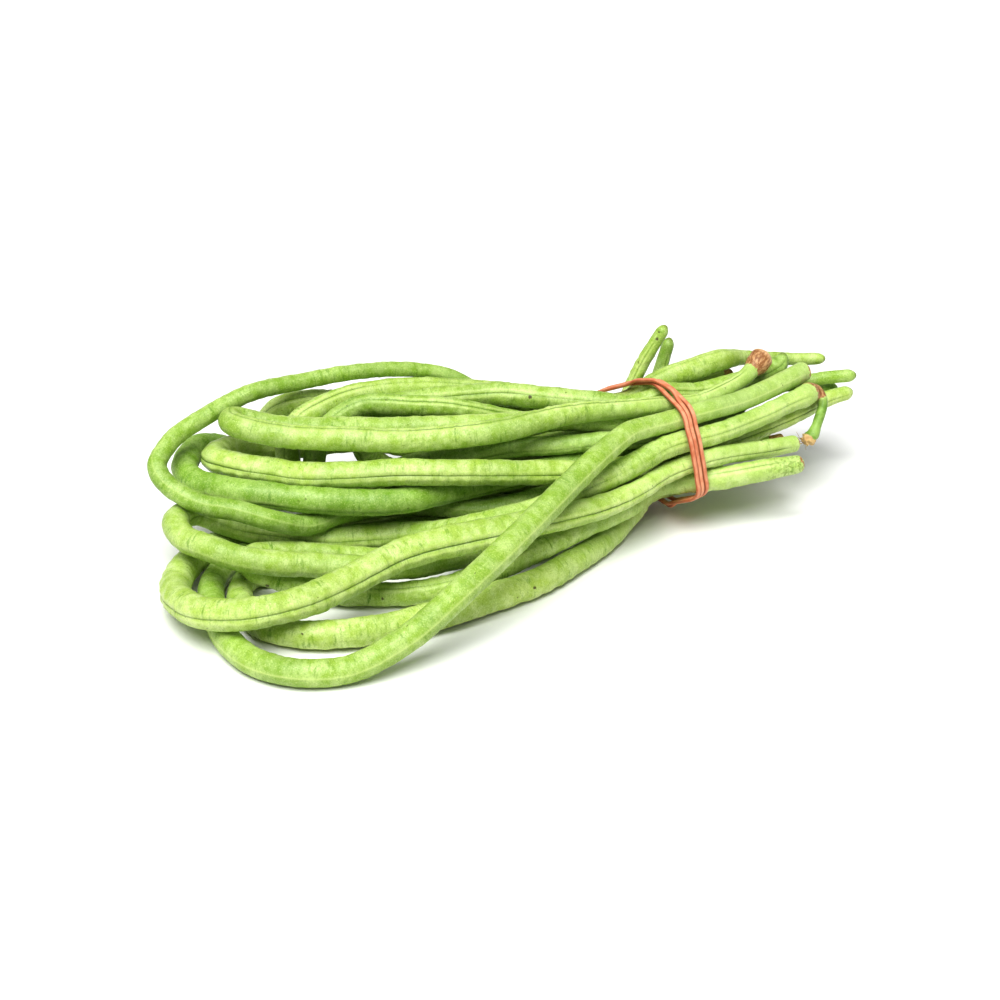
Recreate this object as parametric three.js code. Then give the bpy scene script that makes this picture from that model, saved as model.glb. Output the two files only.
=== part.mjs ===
// Yardlong bean bunch: thirteen folded pods held by one rubber band wound three times.
// Millimetres, +Z up, lying on the ground plane: loops toward -X, cut ends toward +X.
import * as THREE from "three";

// Bundle and band.
const BUNDLE_X = 52;
const BUNDLE_Y = 2.5;
const BUNDLE_Z = 25;
const BUNDLE_RADIUS = 19;
const BUNDLE_WIDE = 1.12;
const BUNDLE_GRIP = 4;
const BUNDLE_FLARE = 0.8;
const BUNDLE_REACH = 12;
const BAND_SLANT = 23;
const BAND_WIDTH = 1.5;
const BAND_THICKNESS = 1.1;
const BAND_LANES = [-1.9, -0.2, 1.9];
const BAND_SWAY = 5;
const BAND_SWAY_POWER = 3;
const BAND_TURNS = 3;
const BAND_STEP = 3;
const BAND_CLEARANCE = 0.52;
const BAND_CROSS_HALF = 0.34;
const BAND_LIFT_HALF = 0.62;
const BAND_LIFT = 1.5;
const BAND_SECTIONS = [-3.2, -1.6, 0, 1.6, 3.2];
const SECTION_SIDES = 36;

// How pods lie against one another.
const POD_GAP = 0.5;
const LINK = 4.4;
const SETTLE_PASSES = 420;
const CLEAN_PASSES = 360;
const HOLD_TO_ROUTE = 0.012;
const HOLD_SHOWN = 0.04;
const SHOWN_MOBILITY = 0.2;
const SMOOTHING = 0.32;
const BEND_SPAN = 3;
const PUSH = 0.7;
const SELF_CLEAR = 1.7;
const GROUND_SINK = 0.4;
const FLAT_SPOT = 0.55;

// Faceting of a pod.
const RING_SAG = 0.13;
const RING_SHORTEST = 3.4;
const RING_LONGEST = 13;
const RING_APART = 2.2;
const END_MARGIN = 2;
const STEM_DETAIL = 42;
const TIP_DETAIL = 16;
const BEND_BEFORE = 2;
const BEND_AFTER = 4;
const CURVE_DIVISIONS = 3000;
const ROUND_SIDES = 7;
const SEAM_HALF_ANGLE = 0.3;
const SEAM_DEPTH = 0.89;
const SEAM_LIP = 1.01;

// Shares of full girth, against millimetres from the end of the pod.
const BROKEN_COLLAR = [
  [0, 0.52], [0.9, 0.84], [4, 0.98], [7, 0.94], [9.5, 0.7], [17, 0.67], [50, 0.74], [110, 1],
];
const ROUND_BUTT = [[0, 0.5], [1, 0.7], [3, 0.8], [10, 0.78], [60, 0.8], [130, 1]];
const SLIM_BUTT = [[0, 0.3], [1, 0.45], [3, 0.56], [10, 0.6], [60, 0.66], [85, 0.8], [130, 1]];
const FULL_BUTT = [[0, 0.45], [1, 0.64], [4, 0.78], [14, 0.92], [32, 0.98], [48, 0.9], [65, 0.88], [130, 1]];
const SHORT_NUB = [
  [0, 0.3], [0.8, 0.42], [5, 0.44], [8, 0.58], [12, 0.76], [20, 0.84], [60, 0.88], [130, 1],
];
const HOOKED_STALK = [
  [0, 0.36], [0.8, 0.5], [6, 0.48], [8, 0.38], [20, 0.38], [24, 0.5], [26, 0.84], [31, 0.86], [35, 0.76],
  [70, 0.8], [130, 1],
];
const LONG_TIP = [[0, 0.26], [1.2, 0.5], [4, 0.64], [14, 0.66], [60, 0.66], [170, 0.74], [290, 1]];
const THIN_TIP = [[0, 0.24], [1.2, 0.44], [4, 0.56], [14, 0.62], [50, 0.74], [120, 0.92], [180, 1]];
const WHIP_TIP = [[0, 0.2], [1.2, 0.4], [5, 0.52], [28, 0.56], [38, 0.74], [46, 0.95], [120, 1]];
const WRINKLED_TIP = [[0, 0.26], [1, 0.4], [3, 0.6], [7, 0.98], [13, 1.08], [22, 0.92], [40, 0.84], [100, 1]];
const BLUNT_TIP = [[0, 0.35], [1.2, 0.6], [5, 0.74], [20, 0.8], [90, 0.92], [150, 1]];

// A place in the band's round section: degrees up from the near side, and millimetres from its middle.
function slot(degrees, out) {
  const a = THREE.MathUtils.degToRad(degrees);
  return [BUNDLE_X, BUNDLE_Y - out * Math.cos(a), BUNDLE_Z + out * Math.sin(a)];
}
const RIM = 15.3;
const MID = 8;
const CORE = 3;

// The slanted plane of the band: its middle, its normal, and two directions in it.
const SLANT = THREE.MathUtils.degToRad(BAND_SLANT);
const PLANE = {
  middle: new THREE.Vector3(BUNDLE_X, BUNDLE_Y, BUNDLE_Z),
  normal: new THREE.Vector3(Math.cos(SLANT), Math.sin(SLANT), 0),
  near: new THREE.Vector3(Math.sin(SLANT), -Math.cos(SLANT), 0),
  up: new THREE.Vector3(0, 0, 1),
};

// How far beyond the slanted plane the band bulges at a place: most over the top and underneath.
function swayAt(place) {
  const offset = place.clone().sub(PLANE.middle);
  const across = offset.dot(PLANE.near);
  const above = offset.dot(PLANE.up);
  const out = Math.hypot(across, above);
  if (out < CORE) return 0;
  return BAND_SWAY * Math.min(1, out / RIM) * Math.abs(above / out) ** BAND_SWAY_POWER;
}

// Distance of a place from the band's own surface, along its normal.
function beyondBand(place) {
  return place.clone().sub(PLANE.middle).dot(PLANE.normal) - swayAt(place);
}

// Each pod's route runs from its stem end to its tip.
const PODS = [
  {
    name: "pod_arch",
    girth: 3.4,
    stem: SHORT_NUB,
    tip: LONG_TIP,
    seam: { at: 0.25, degrees: 200 },
    shown: [10, 25],
    route: [
      [102, 2, 23], [85, 0, 22], slot(-35, MID), [30, -3, 20], [12, -3, 18], [-7, -1, 15], [-23, 9, 13],
      [-36, 10, 13], [-46, 8, 14], [-56, 4, 16], [-66, 1, 17], [-76, 0, 21], [-86, 5, 23],
      [-96, 12, 23], [-102, 18, 25], [-106, 26, 30], [-102, 31, 34], [-96, 35, 37], [-87, 38, 40],
      [-77, 41, 43], [-69, 42, 45], [-53, 45, 45], [-31, 46, 46], [-10, 47, 44], [1, 46, 41],
      [10, 43, 36], [22, 36, 32], [34, 28, 31], slot(152, RIM), [75, 22, 33], [100, 17, 33],
      [118, 14, 35], [129, 12, 35],
    ],
  },
  {
    name: "pod_top",
    girth: 4,
    stem: BROKEN_COLLAR,
    tip: BLUNT_TIP,
    seam: { at: 0.3, degrees: 82 },
    shown: [0, 21],
    route: [
      [99, 14, 44], [93, 10, 41], [87, 6, 39], [80, 3, 38], [69, -1, 37], [59, -1, 38], slot(70, RIM),
      [34, 0, 40], [20, 0, 41], [-1, -2, 41], [-19, 2, 40], [-32, 5, 40], [-45, 11, 40], [-61, 18, 40],
      [-71, 23, 41], [-77, 27, 42], [-79, 31, 42], [-77, 35, 41], [-70, 33, 39], [-60, 27, 38],
      [-45, 19, 39], [-28, 13, 39], [-3, 7, 39], [25, 7, 37], slot(95, MID), [75, 5, 32], [95, 8, 30],
    ],
  },
  {
    name: "pod_upper",
    girth: 4.4,
    stem: SHORT_NUB,
    tip: THIN_TIP,
    seam: { at: 0.62, degrees: 10 },
    shown: [10, 23],
    route: [
      [88, 26, 32], [70, 18, 31], slot(120, CORE), [20, 8, 22], [-6, 16, 20], [-20, 29, 20],
      [-32, 38, 20], [-45, 41, 21], [-58, 42, 22], [-68, 43, 24], [-77, 42, 26], [-83, 39, 27],
      [-86, 34, 28], [-84, 28, 29], [-78, 22, 29], [-73, 18, 29], [-66, 14, 28], [-54, 8, 28],
      [-38, 1, 29], [-20, -5, 29], [-1, -8, 28], [14, -9, 27], [31, -8, 25], slot(10, MID), [85, 2, 26],
      [104, 6, 27], [119, 12, 27], [132, 14, 27],
    ],
  },
  {
    name: "pod_outer",
    girth: 4.3,
    stem: SHORT_NUB,
    tip: THIN_TIP,
    seam: { at: 0.6, degrees: -25 },
    shown: [9, 20],
    route: [
      [90, 20, 29], [70, 17, 28], slot(-150, CORE), [15, 12, 13], [-20, 22, 9], [-42, 35, 9],
      [-58, 44, 11], [-68, 50, 16], [-76, 49, 23], [-84, 45, 27], [-90, 39, 27], [-93, 33, 26],
      [-91, 25, 25], [-86, 19, 25], [-82, 14, 25], [-71, 8, 24], [-62, 3, 23], [-48, -1, 22],
      [-38, -3, 22], [-29, -3, 22], [-19, 0, 21], [-6, 1, 21], [10, 0, 22], [30, -1, 24],
      slot(30, CORE), [90, 7, 27], [110, 13, 28], [130, 18, 28],
    ],
  },
  {
    name: "pod_middle",
    girth: 4.3,
    stem: HOOKED_STALK,
    tip: BLUNT_TIP,
    seam: { at: 0.5, degrees: 13 },
    shown: [0, 30],
    route: [
      [104, -4, 21], [108, -3, 23], [111, -1, 26], [114, 3, 29], [116, 6, 32], [113, 6, 33],
      [107, 3, 33], [98, 0, 32], [89, -4, 32], [71, -9, 31], slot(20, RIM), [38, -15, 26],
      [20, -18, 22], [7, -20, 19], [-13, -19, 17], [-24, -8, 11], [-35, 0, 9], [-48, 3, 9], [-60, 6, 9],
      [-71, 10, 10], [-81, 15, 11], [-89, 20, 15], [-95, 21, 18], [-101, 16, 20], [-103, 10, 21],
      [-102, 3, 20], [-97, -6, 20], [-90, -13, 18], [-81, -18, 16], [-67, -22, 13], [-54, -26, 11],
      [-40, -27, 9], [-20, -20, 8], [0, -14, 9], [18, -7, 12],
    ],
  },
  {
    name: "pod_fat",
    girth: 5,
    stem: SLIM_BUTT,
    tip: BLUNT_TIP,
    seam: { at: 0.38, degrees: 10 },
    shown: [0, 17],
    route: [
      [103, -7, 20], [87, -9, 21], [70, -12, 24], slot(-7, RIM), [36, -19, 22], [22, -24, 22],
      [10, -28, 23], [-4, -30, 23], [-18, -31, 22], [-31, -31, 21], [-44, -31, 19], [-61, -36, 16],
      [-79, -43, 15], [-95, -43, 14], [-106, -35, 12], [-110, -22, 10], [-109, -10, 9], [-103, 2, 9],
      [-95, 11, 9], [-84, 19, 8], [-65, 24, 7], [-40, 23, 6], [-10, 20, 6], [15, 18, 8],
    ],
  },
  {
    name: "pod_front",
    girth: 4.3,
    stem: ROUND_BUTT,
    tip: BLUNT_TIP,
    seam: { at: 0.3, degrees: 190 },
    shown: [0, 18],
    route: [
      [115, 13, 36], [100, 6, 36], [83, -1, 36], [66, -6, 37], slot(45, RIM), [40, -12, 37],
      [30, -18, 36], [18, -26, 34], [5, -35, 31], [-10, -45, 27], [-22, -53, 24], [-38, -61, 18],
      [-52, -65, 11], [-71, -67, 5], [-86, -64, 5], [-96, -55, 5], [-101, -41, 5], [-101, -22, 5],
      [-97, -4, 5], [-89, 6, 5], [-80, 11, 5], [-50, 11, 5], [-10, 7, 5], [18, 4, 5],
    ],
  },
  {
    name: "pod_low",
    girth: 3.9,
    stem: FULL_BUTT,
    tip: BLUNT_TIP,
    seam: { at: 0.4, degrees: 60 },
    shown: [0, 14],
    route: [
      [99, -20, 22], [90, -19, 21], [78, -18, 20], [65, -16, 18], slot(-45, RIM), [36, -18, 13],
      [22, -22, 12], [5, -27, 10], [-21, -32, 7], [-33, -32, 6], [-49, -27, 5], [-65, -20, 5],
      [-76, -15, 8], [-83, -12, 10], [-86, -7, 11], [-83, -2, 11], [-74, -1, 10], [-58, -3, 8],
      [-40, -6, 6], [-18, -10, 5], [5, -12, 5],
    ],
  },
  {
    name: "pod_bottom",
    girth: 4.9,
    stem: ROUND_BUTT,
    tip: BLUNT_TIP,
    seam: { at: 0.2, degrees: -50 },
    shown: [0, 12],
    route: [
      [80, 2, 12], [66, 0, 10], slot(-76, RIM), [42, -8, 7], [27, -20, 5], [12, -29, 5], [0, -36, 5],
      [-19, -42, 5], [-36, -46, 5], [-56, -48, 5], [-67, -47, 5], [-80, -42, 5], [-88, -34, 5],
      [-91, -23, 5], [-90, -11, 5], [-84, -2, 5], [-70, -3, 4],
    ],
  },
  {
    name: "pod_back",
    girth: 4,
    stem: SHORT_NUB,
    tip: WHIP_TIP,
    seam: { at: 0.7, degrees: 60 },
    shown: [9, 26],
    flare: 2,
    route: [
      [94, 16, 9], [74, 14, 12], slot(236, RIM), [20, 11, 8], [-15, 24, 6], [-38, 28, 8], [-52, 29, 13],
      [-60, 29, 21], [-62, 29, 30], [-61, 31, 36], [-56, 34, 40], [-48, 37, 41], [-39, 40, 41],
      [-20, 42, 39], [-6, 41, 37], [13, 37, 35], [30, 28, 34], [44, 21, 34], [54, 18, 38], [62, 17, 43],
      [69, 17, 43], [77, 18, 44], [87, 20, 43], [96, 24, 40], [106, 26, 37], [116, 25, 35],
      [126, 21, 35],
    ],
  },
  {
    name: "pod_inner",
    girth: 3.8,
    stem: ROUND_BUTT,
    tip: THIN_TIP,
    seam: { at: 0.65, degrees: 50 },
    shown: [13, 17],
    flare: 2,
    route: [
      [88, 3, 32], [70, -1, 31], slot(52, MID), [38, 1, 30], [20, 5, 28], [8, 9, 27], [-8, 14, 24],
      [-18, 19, 22], [-28, 22, 19], [-40, 22, 14], [-48, 24, 14], [-53, 27, 20], [-52, 29, 28],
      [-47, 30, 35], [-41, 30, 39], [-34, 29, 41], [-25, 25, 41], [-12, 20, 41], [4, 16, 38],
      [25, 14, 33], slot(140, MID), [60, 17, 31], [65, 24, 34], [69, 29, 39], [72, 32, 45],
      [74, 33, 51],
    ],
  },
  {
    name: "pod_rear",
    girth: 3.8,
    stem: SHORT_NUB,
    tip: THIN_TIP,
    seam: { at: 0.7, degrees: 50 },
    shown: [11, 13],
    flare: 3,
    route: [
      [98, 10, 17], [75, 5, 17], slot(-70, MID), [25, 14, 12], [0, 26, 7], [-25, 37, 5], [-46, 47, 6],
      [-57, 51, 11], [-62, 53, 19], [-63, 52, 28], [-60, 49, 34], [-51, 48, 36], [-35, 50, 33],
      [-5, 46, 30], [22, 32, 29], [36, 25, 28], [46, 21, 31], [50, 22, 37], [53, 22, 44], [57, 22, 50],
      [63, 22, 57], [69, 22, 63],
    ],
  },
  {
    name: "pod_shoulder",
    girth: 3.9,
    stem: SHORT_NUB,
    tip: WRINKLED_TIP,
    seam: { at: 0.72, degrees: 28 },
    shown: [10, 23],
    route: [
      [90, 15, 23], [74, 14, 22], slot(-170, MID), [30, 12, 17], [10, 18, 13], [-12, 26, 12],
      [-26, 31, 13], [-33, 33, 19], [-35, 33, 26], [-32, 33, 32], [-24, 33, 36], [-12, 31, 38],
      [-2, 30, 38], [10, 27, 39], [22, 21, 39], [38, 13, 39], slot(112, RIM), [58, 8, 42], [69, 8, 40],
      [81, 11, 38], [94, 15, 36], [103, 19, 35], [108, 20, 37], [109, 21, 41],
    ],
  },
];

// A route turned into evenly spaced joints that can be nudged.
function layOut(pod) {
  const curve = new THREE.CatmullRomCurve3(
    pod.route.map((p) => new THREE.Vector3(...p)),
    false,
    "centripetal",
  );
  const length = curve.getLength();
  const count = Math.round(length / LINK) + 1;
  curve.arcLengthDivisions = CURVE_DIVISIONS;
  curve.updateArcLengths();
  const joints = curve.getSpacedPoints(count - 1);
  const home = joints.map((p) => p.clone());
  const [from, to] = pod.shown.map((k) => closestIndex(joints, new THREE.Vector3(...pod.route[k])));
  const shown = joints.map((_, i) => i >= from && i <= to);
  return { ...pod, joints, home, shown, length, link: length / (count - 1) };
}

function closestIndex(joints, place) {
  return joints.reduce(
    (best, p, i) => (p.distanceToSquared(place) < joints[best].distanceToSquared(place) ? i : best),
    0,
  );
}

// Radius at a place given by its distances from the stem end and from the tip.
function share(profile, distance) {
  const last = profile.length - 1;
  if (distance >= profile[last][0]) return profile[last][1];
  let k = 0;
  while (k < last - 1 && profile[k + 1][0] < distance) k += 1;
  const [d0, s0] = profile[k];
  const [d1, s1] = profile[k + 1];
  return s0 + ((s1 - s0) * (distance - d0)) / (d1 - d0);
}

function radiusAt(pod, distance) {
  return pod.girth * Math.min(share(pod.stem, distance), share(pod.tip, pod.length - distance));
}

// Nearest places on two straight links, as their fractions along them.
function nearest(a0, a1, b0, b1) {
  const u = a1.clone().sub(a0);
  const v = b1.clone().sub(b0);
  const w = a0.clone().sub(b0);
  const uu = u.dot(u);
  const uv = u.dot(v);
  const vv = v.dot(v);
  const uw = u.dot(w);
  const vw = v.dot(w);
  const det = uu * vv - uv * uv;
  let s = det > 1e-9 ? THREE.MathUtils.clamp((uv * vw - vv * uw) / det, 0, 1) : 0.5;
  const t = THREE.MathUtils.clamp((uv * s + vw) / vv, 0, 1);
  s = THREE.MathUtils.clamp((uv * t - uw) / uu, 0, 1);
  return [s, t];
}

// Pushes touching links apart until every pair is a gap away from its neighbour.
function separate(links, cell, strength) {
  const grid = new Map();
  links.forEach((link) => {
    const a = link.pod.joints[link.i];
    const key = [a.x, a.y, a.z].map((v) => Math.floor(v / cell)).join();
    if (!grid.has(key)) grid.set(key, []);
    grid.get(key).push(link);
    link.key = key;
  });
  links.forEach((link) => {
    const [x, y, z] = link.key.split(",").map(Number);
    for (let dx = -1; dx <= 1; dx += 1)
      for (let dy = -1; dy <= 1; dy += 1)
        for (let dz = -1; dz <= 1; dz += 1) {
          const others = grid.get([x + dx, y + dy, z + dz].join()) || [];
          others.forEach((other) => {
            if (other.id > link.id) pushApart(link, other, strength);
          });
        }
  });
}

function pushApart(a, b, strength) {
  const reach = a.radius + b.radius + POD_GAP;
  if (a.pod === b.pod && (b.i - a.i) * LINK < SELF_CLEAR * reach) return;
  const [a0, a1] = [a.pod.joints[a.i], a.pod.joints[a.i + 1]];
  const [b0, b1] = [b.pod.joints[b.i], b.pod.joints[b.i + 1]];
  if (a0.distanceToSquared(b0) > (reach + 2 * LINK) ** 2) return;
  const [s, t] = nearest(a0, a1, b0, b1);
  const away = a0.clone().lerp(a1, s).sub(b0.clone().lerp(b1, t));
  const distance = away.length();
  if (distance >= reach || distance < 1e-6) return;
  const shareA = a.mobility / (a.mobility + b.mobility);
  away.multiplyScalar((strength * (reach - distance)) / distance);
  a0.addScaledVector(away, (1 - s) * shareA);
  a1.addScaledVector(away, s * shareA);
  b0.addScaledVector(away, (t - 1) * (1 - shareA));
  b1.addScaledVector(away, -t * (1 - shareA));
}

function keepLength(pod) {
  for (let i = 0; i < pod.joints.length - 1; i += 1) {
    const a = pod.joints[i];
    const b = pod.joints[i + 1];
    const step = b.clone().sub(a);
    step.multiplyScalar((0.5 * (step.length() - pod.link)) / step.length());
    a.add(step);
    b.sub(step);
  }
}

// Evens out kinks while keeping the bends that the route was drawn with.
function keepBend(pod, stride, strength) {
  const { joints, home } = pod;
  for (let i = stride; i < joints.length - stride; i += 1) {
    const bend = joints[i - stride].clone().add(joints[i + stride]).multiplyScalar(0.5).sub(joints[i]);
    bend.sub(home[i - stride].clone().add(home[i + stride]).multiplyScalar(0.5).sub(home[i]));
    joints[i].addScaledVector(bend, strength * 0.5);
    joints[i - stride].addScaledVector(bend, -strength * 0.25);
    joints[i + stride].addScaledVector(bend, -strength * 0.25);
  }
}

// The band's pinch and the ground, which no pod may pass.
function confine(pod) {
  pod.joints.forEach((p, i) => {
    const radius = pod.radii[i];
    const along = beyondBand(p);
    const slope = pod.flare && along > 0 ? pod.flare : BUNDLE_FLARE;
    const flare = slope * Math.max(0, Math.abs(along) - BUNDLE_GRIP);
    const limit = BUNDLE_RADIUS + flare - radius;
    const out = Math.hypot((p.y - BUNDLE_Y) / BUNDLE_WIDE, p.z - BUNDLE_Z);
    if (flare < BUNDLE_REACH && out > limit) {
      const pull = 1 - (0.5 * (out - limit)) / out;
      p.y = BUNDLE_Y + (p.y - BUNDLE_Y) * pull;
      p.z = BUNDLE_Z + (p.z - BUNDLE_Z) * pull;
    }
    p.z = Math.max(p.z, radius - GROUND_SINK);
  });
}

function settle(pods) {
  const links = [];
  pods.forEach((pod) => {
    pod.radii = pod.joints.map((_, i) => radiusAt(pod, i * pod.link));
    for (let i = 0; i < pod.joints.length - 1; i += 1)
      links.push({
        pod,
        i,
        id: links.length,
        radius: (pod.radii[i] + pod.radii[i + 1]) / 2,
        mobility: pod.shown[i] ? SHOWN_MOBILITY : 1,
      });
  });
  const cell = 2 * Math.max(...links.map((link) => link.radius)) + POD_GAP + LINK;
  for (let pass = 0; pass < SETTLE_PASSES + CLEAN_PASSES; pass += 1) {
    const cleaning = pass >= SETTLE_PASSES;
    pods.forEach((pod) => {
      if (!cleaning)
        pod.joints.forEach((p, i) => p.lerp(pod.home[i], pod.shown[i] ? HOLD_SHOWN : HOLD_TO_ROUTE));
      keepBend(pod, BEND_SPAN, cleaning ? SMOOTHING / 3 : SMOOTHING);
      keepBend(pod, 1, cleaning ? SMOOTHING / 2 : SMOOTHING);
      keepLength(pod);
    });
    separate(links, cell, cleaning ? 1 : PUSH);
    pods.forEach(confine);
  }
}

// Distances along a pod at which it gets a ring: closer in bends and near its ends.
function ringPlaces(pod, curve) {
  const total = curve.getLength();
  const knots = [...pod.stem.map(([d]) => d), ...pod.tip.map(([d]) => total - d)]
    .filter((d) => d < STEM_DETAIL || d > total - TIP_DETAIL)
    .filter((d) => d > 0 && d < total);
  const places = [];
  let d = 0;
  while (d < total) {
    const before = curve.getTangentAt(Math.max(0, (d - BEND_BEFORE) / total));
    const after = curve.getTangentAt(Math.min(1, (d + BEND_AFTER) / total));
    const bend = Math.max(before.angleTo(after) / (BEND_BEFORE + BEND_AFTER), 1e-4);
    d += THREE.MathUtils.clamp(Math.sqrt((8 * RING_SAG) / bend), RING_SHORTEST, RING_LONGEST);
    places.push(d);
  }
  const kept = places.filter(
    (p) => p < total - END_MARGIN && knots.every((k) => Math.abs(k - p) > RING_APART),
  );
  return [...kept, ...knots].sort((a, b) => a - b);
}

// Angles round a ring, the seam's groove and two lips first, then the round back.
function ringOutline() {
  const outline = [
    [-SEAM_HALF_ANGLE, SEAM_LIP],
    [0, SEAM_DEPTH],
    [SEAM_HALF_ANGLE, SEAM_LIP],
  ];
  const span = (2 * Math.PI - 2 * SEAM_HALF_ANGLE) / (ROUND_SIDES + 1);
  for (let k = 1; k <= ROUND_SIDES; k += 1) outline.push([SEAM_HALF_ANGLE + k * span, 1]);
  return outline;
}

// A closed tube of the pod's own shape: rings joined side to side, with a point at each end.
function podGeometry(pod) {
  const curve = new THREE.CatmullRomCurve3(pod.joints, false, "centripetal");
  curve.arcLengthDivisions = CURVE_DIVISIONS;
  const total = curve.getLength();
  pod.length = total;
  const places = ringPlaces(pod, curve);
  const outline = ringOutline();
  const start = curve.getPointAt(0);
  const frames = [];
  let normal = new THREE.Vector3(0, 0, 1);
  places.forEach((d) => {
    const tangent = curve.getTangentAt(d / total);
    normal = normal.clone().addScaledVector(tangent, -normal.dot(tangent)).normalize();
    frames.push({ d, point: curve.getPointAt(d / total), tangent, normal });
  });
  const marked = frames.reduce((a, b) =>
    Math.abs(b.d - pod.seam.at * total) < Math.abs(a.d - pod.seam.at * total) ? b : a,
  );
  const turn = seamTurn(marked, pod.seam.degrees);
  const vertices = [start];
  frames.forEach(({ d, point, tangent, normal: n }) => {
    const side = tangent.clone().cross(n);
    const radius = radiusAt(pod, d);
    outline.forEach(([angle, out]) => {
      const a = angle + turn;
      vertices.push(
        point
          .clone()
          .addScaledVector(n, radius * out * Math.cos(a))
          .addScaledVector(side, radius * out * Math.sin(a)),
      );
    });
  });
  vertices.push(curve.getPointAt(1));
  const count = outline.length;
  const faces = [];
  for (let k = 0; k < count; k += 1) {
    const next = (k + 1) % count;
    faces.push([0, 1 + next, 1 + k]);
    for (let ring = 0; ring < frames.length - 1; ring += 1) {
      const low = 1 + ring * count;
      const high = low + count;
      faces.push([low + k, low + next, high + next], [low + k, high + next, high + k]);
    }
    const last = 1 + (frames.length - 1) * count;
    faces.push([last + k, last + next, vertices.length - 1]);
  }
  return closedGeometry(vertices, faces);
}

// The turn that puts the seam so many degrees up from the near side at the marked ring.
function seamTurn({ tangent, normal }, degrees) {
  const a = THREE.MathUtils.degToRad(degrees);
  const wanted = new THREE.Vector3(0, -Math.cos(a), Math.sin(a));
  wanted.addScaledVector(tangent, -wanted.dot(tangent));
  const side = tangent.clone().cross(normal);
  return Math.atan2(wanted.dot(side), wanted.dot(normal));
}

function closedGeometry(vertices, faces) {
  const positions = vertices.flatMap((v) => [v.x, v.y, v.z < FLAT_SPOT ? 0 : v.z]);
  const geometry = new THREE.BufferGeometry();
  geometry.setAttribute("position", new THREE.Float32BufferAttribute(positions, 3));
  geometry.setIndex(faces.flat());
  geometry.computeVertexNormals();
  return geometry;
}

// Outermost points of every pod's section where the band passes, flattened to the band's plane.
function sectionPoints(pods) {
  const { middle, normal, near, up } = PLANE;
  const points = [];
  pods.forEach((pod) => {
    for (let i = 0; i < pod.joints.length - 1; i += 1) {
      const a = pod.joints[i];
      const b = pod.joints[i + 1];
      BAND_SECTIONS.forEach((offset) => {
        const before = beyondBand(a) - offset;
        const after = beyondBand(b) - offset;
        if (before * after > 0) return;
        const centre = a.clone().lerp(b, before / (before - after));
        const place = centre.clone().sub(middle).dot(normal);
        const tangent = b.clone().sub(a).normalize();
        const above = up.clone().addScaledVector(tangent, -up.dot(tangent)).normalize();
        const side = tangent.clone().cross(above);
        const radius = pod.radii[i] * SEAM_LIP + BAND_CLEARANCE + BAND_THICKNESS / 2;
        for (let k = 0; k < SECTION_SIDES; k += 1) {
          const angle = (2 * Math.PI * k) / SECTION_SIDES;
          const rim = centre
            .clone()
            .addScaledVector(above, radius * Math.sin(angle))
            .addScaledVector(side, radius * Math.cos(angle))
            .sub(middle);
          rim.addScaledVector(tangent, (place - rim.dot(normal)) / tangent.dot(normal));
          points.push(new THREE.Vector2(rim.dot(near), rim.dot(up)));
        }
      });
    }
  });
  return points;
}

function convexOutline(points) {
  const sorted = [...points].sort((a, b) => a.x - b.x || a.y - b.y);
  const half = (list) => {
    const chain = [];
    list.forEach((p) => {
      while (chain.length > 1) {
        const a = chain[chain.length - 2];
        const b = chain[chain.length - 1];
        if ((b.x - a.x) * (p.y - a.y) - (b.y - a.y) * (p.x - a.x) > 0) break;
        chain.pop();
      }
      chain.push(p);
    });
    return chain.slice(0, -1);
  };
  return [...half(sorted), ...half(sorted.reverse())];
}

// Distance from the middle to the outline along a direction.
function outlineReach(outline, angle) {
  const direction = new THREE.Vector2(Math.cos(angle), Math.sin(angle));
  let reach = 0;
  outline.forEach((a, k) => {
    const b = outline[(k + 1) % outline.length];
    const edge = b.clone().sub(a);
    const det = direction.x * -edge.y + direction.y * edge.x;
    if (Math.abs(det) < 1e-9) return;
    const r = (a.x * -edge.y + a.y * edge.x) / det;
    const t = (direction.x * a.y - direction.y * a.x) / det;
    if (r > 0 && t >= -1e-6 && t <= 1 + 1e-6) reach = Math.max(reach, r);
  });
  return reach;
}

// How far along one of the two crossings a strand is: 0 before, 1 after.
function crossed(angle, at) {
  return THREE.MathUtils.smoothstep(angle, at - BAND_CROSS_HALF, at + BAND_CROSS_HALF);
}

function lift(angle, at) {
  return 1 - THREE.MathUtils.smoothstep(Math.abs(angle - at), BAND_CROSS_HALF, BAND_LIFT_HALF);
}

// Lane and lift of a strand: the first crossing swaps the outer two lanes, the second the inner two.
const UNDER_CROSSING = 0.5 * Math.PI;
const OVER_CROSSING = 1.5 * Math.PI;
const LANE_PLAN = [
  { before: 0, between: 0, after: 1, liftUnder: 0, liftOver: 1 },
  { before: 1, between: 2, after: 2, liftUnder: 1, liftOver: 0 },
  { before: 2, between: 1, after: 0, liftUnder: 0, liftOver: 0 },
];

function strandAt(turn, angle) {
  const plan = LANE_PLAN[turn];
  const first = crossed(angle, UNDER_CROSSING);
  const second = crossed(angle, OVER_CROSSING);
  const lane =
    BAND_LANES[plan.before] +
    (BAND_LANES[plan.between] - BAND_LANES[plan.before]) * first +
    (BAND_LANES[plan.after] - BAND_LANES[plan.between]) * second;
  const raise =
    BAND_LIFT *
    (plan.liftUnder * lift(angle, UNDER_CROSSING) + plan.liftOver * lift(angle, OVER_CROSSING));
  return { lane, raise };
}

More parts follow.
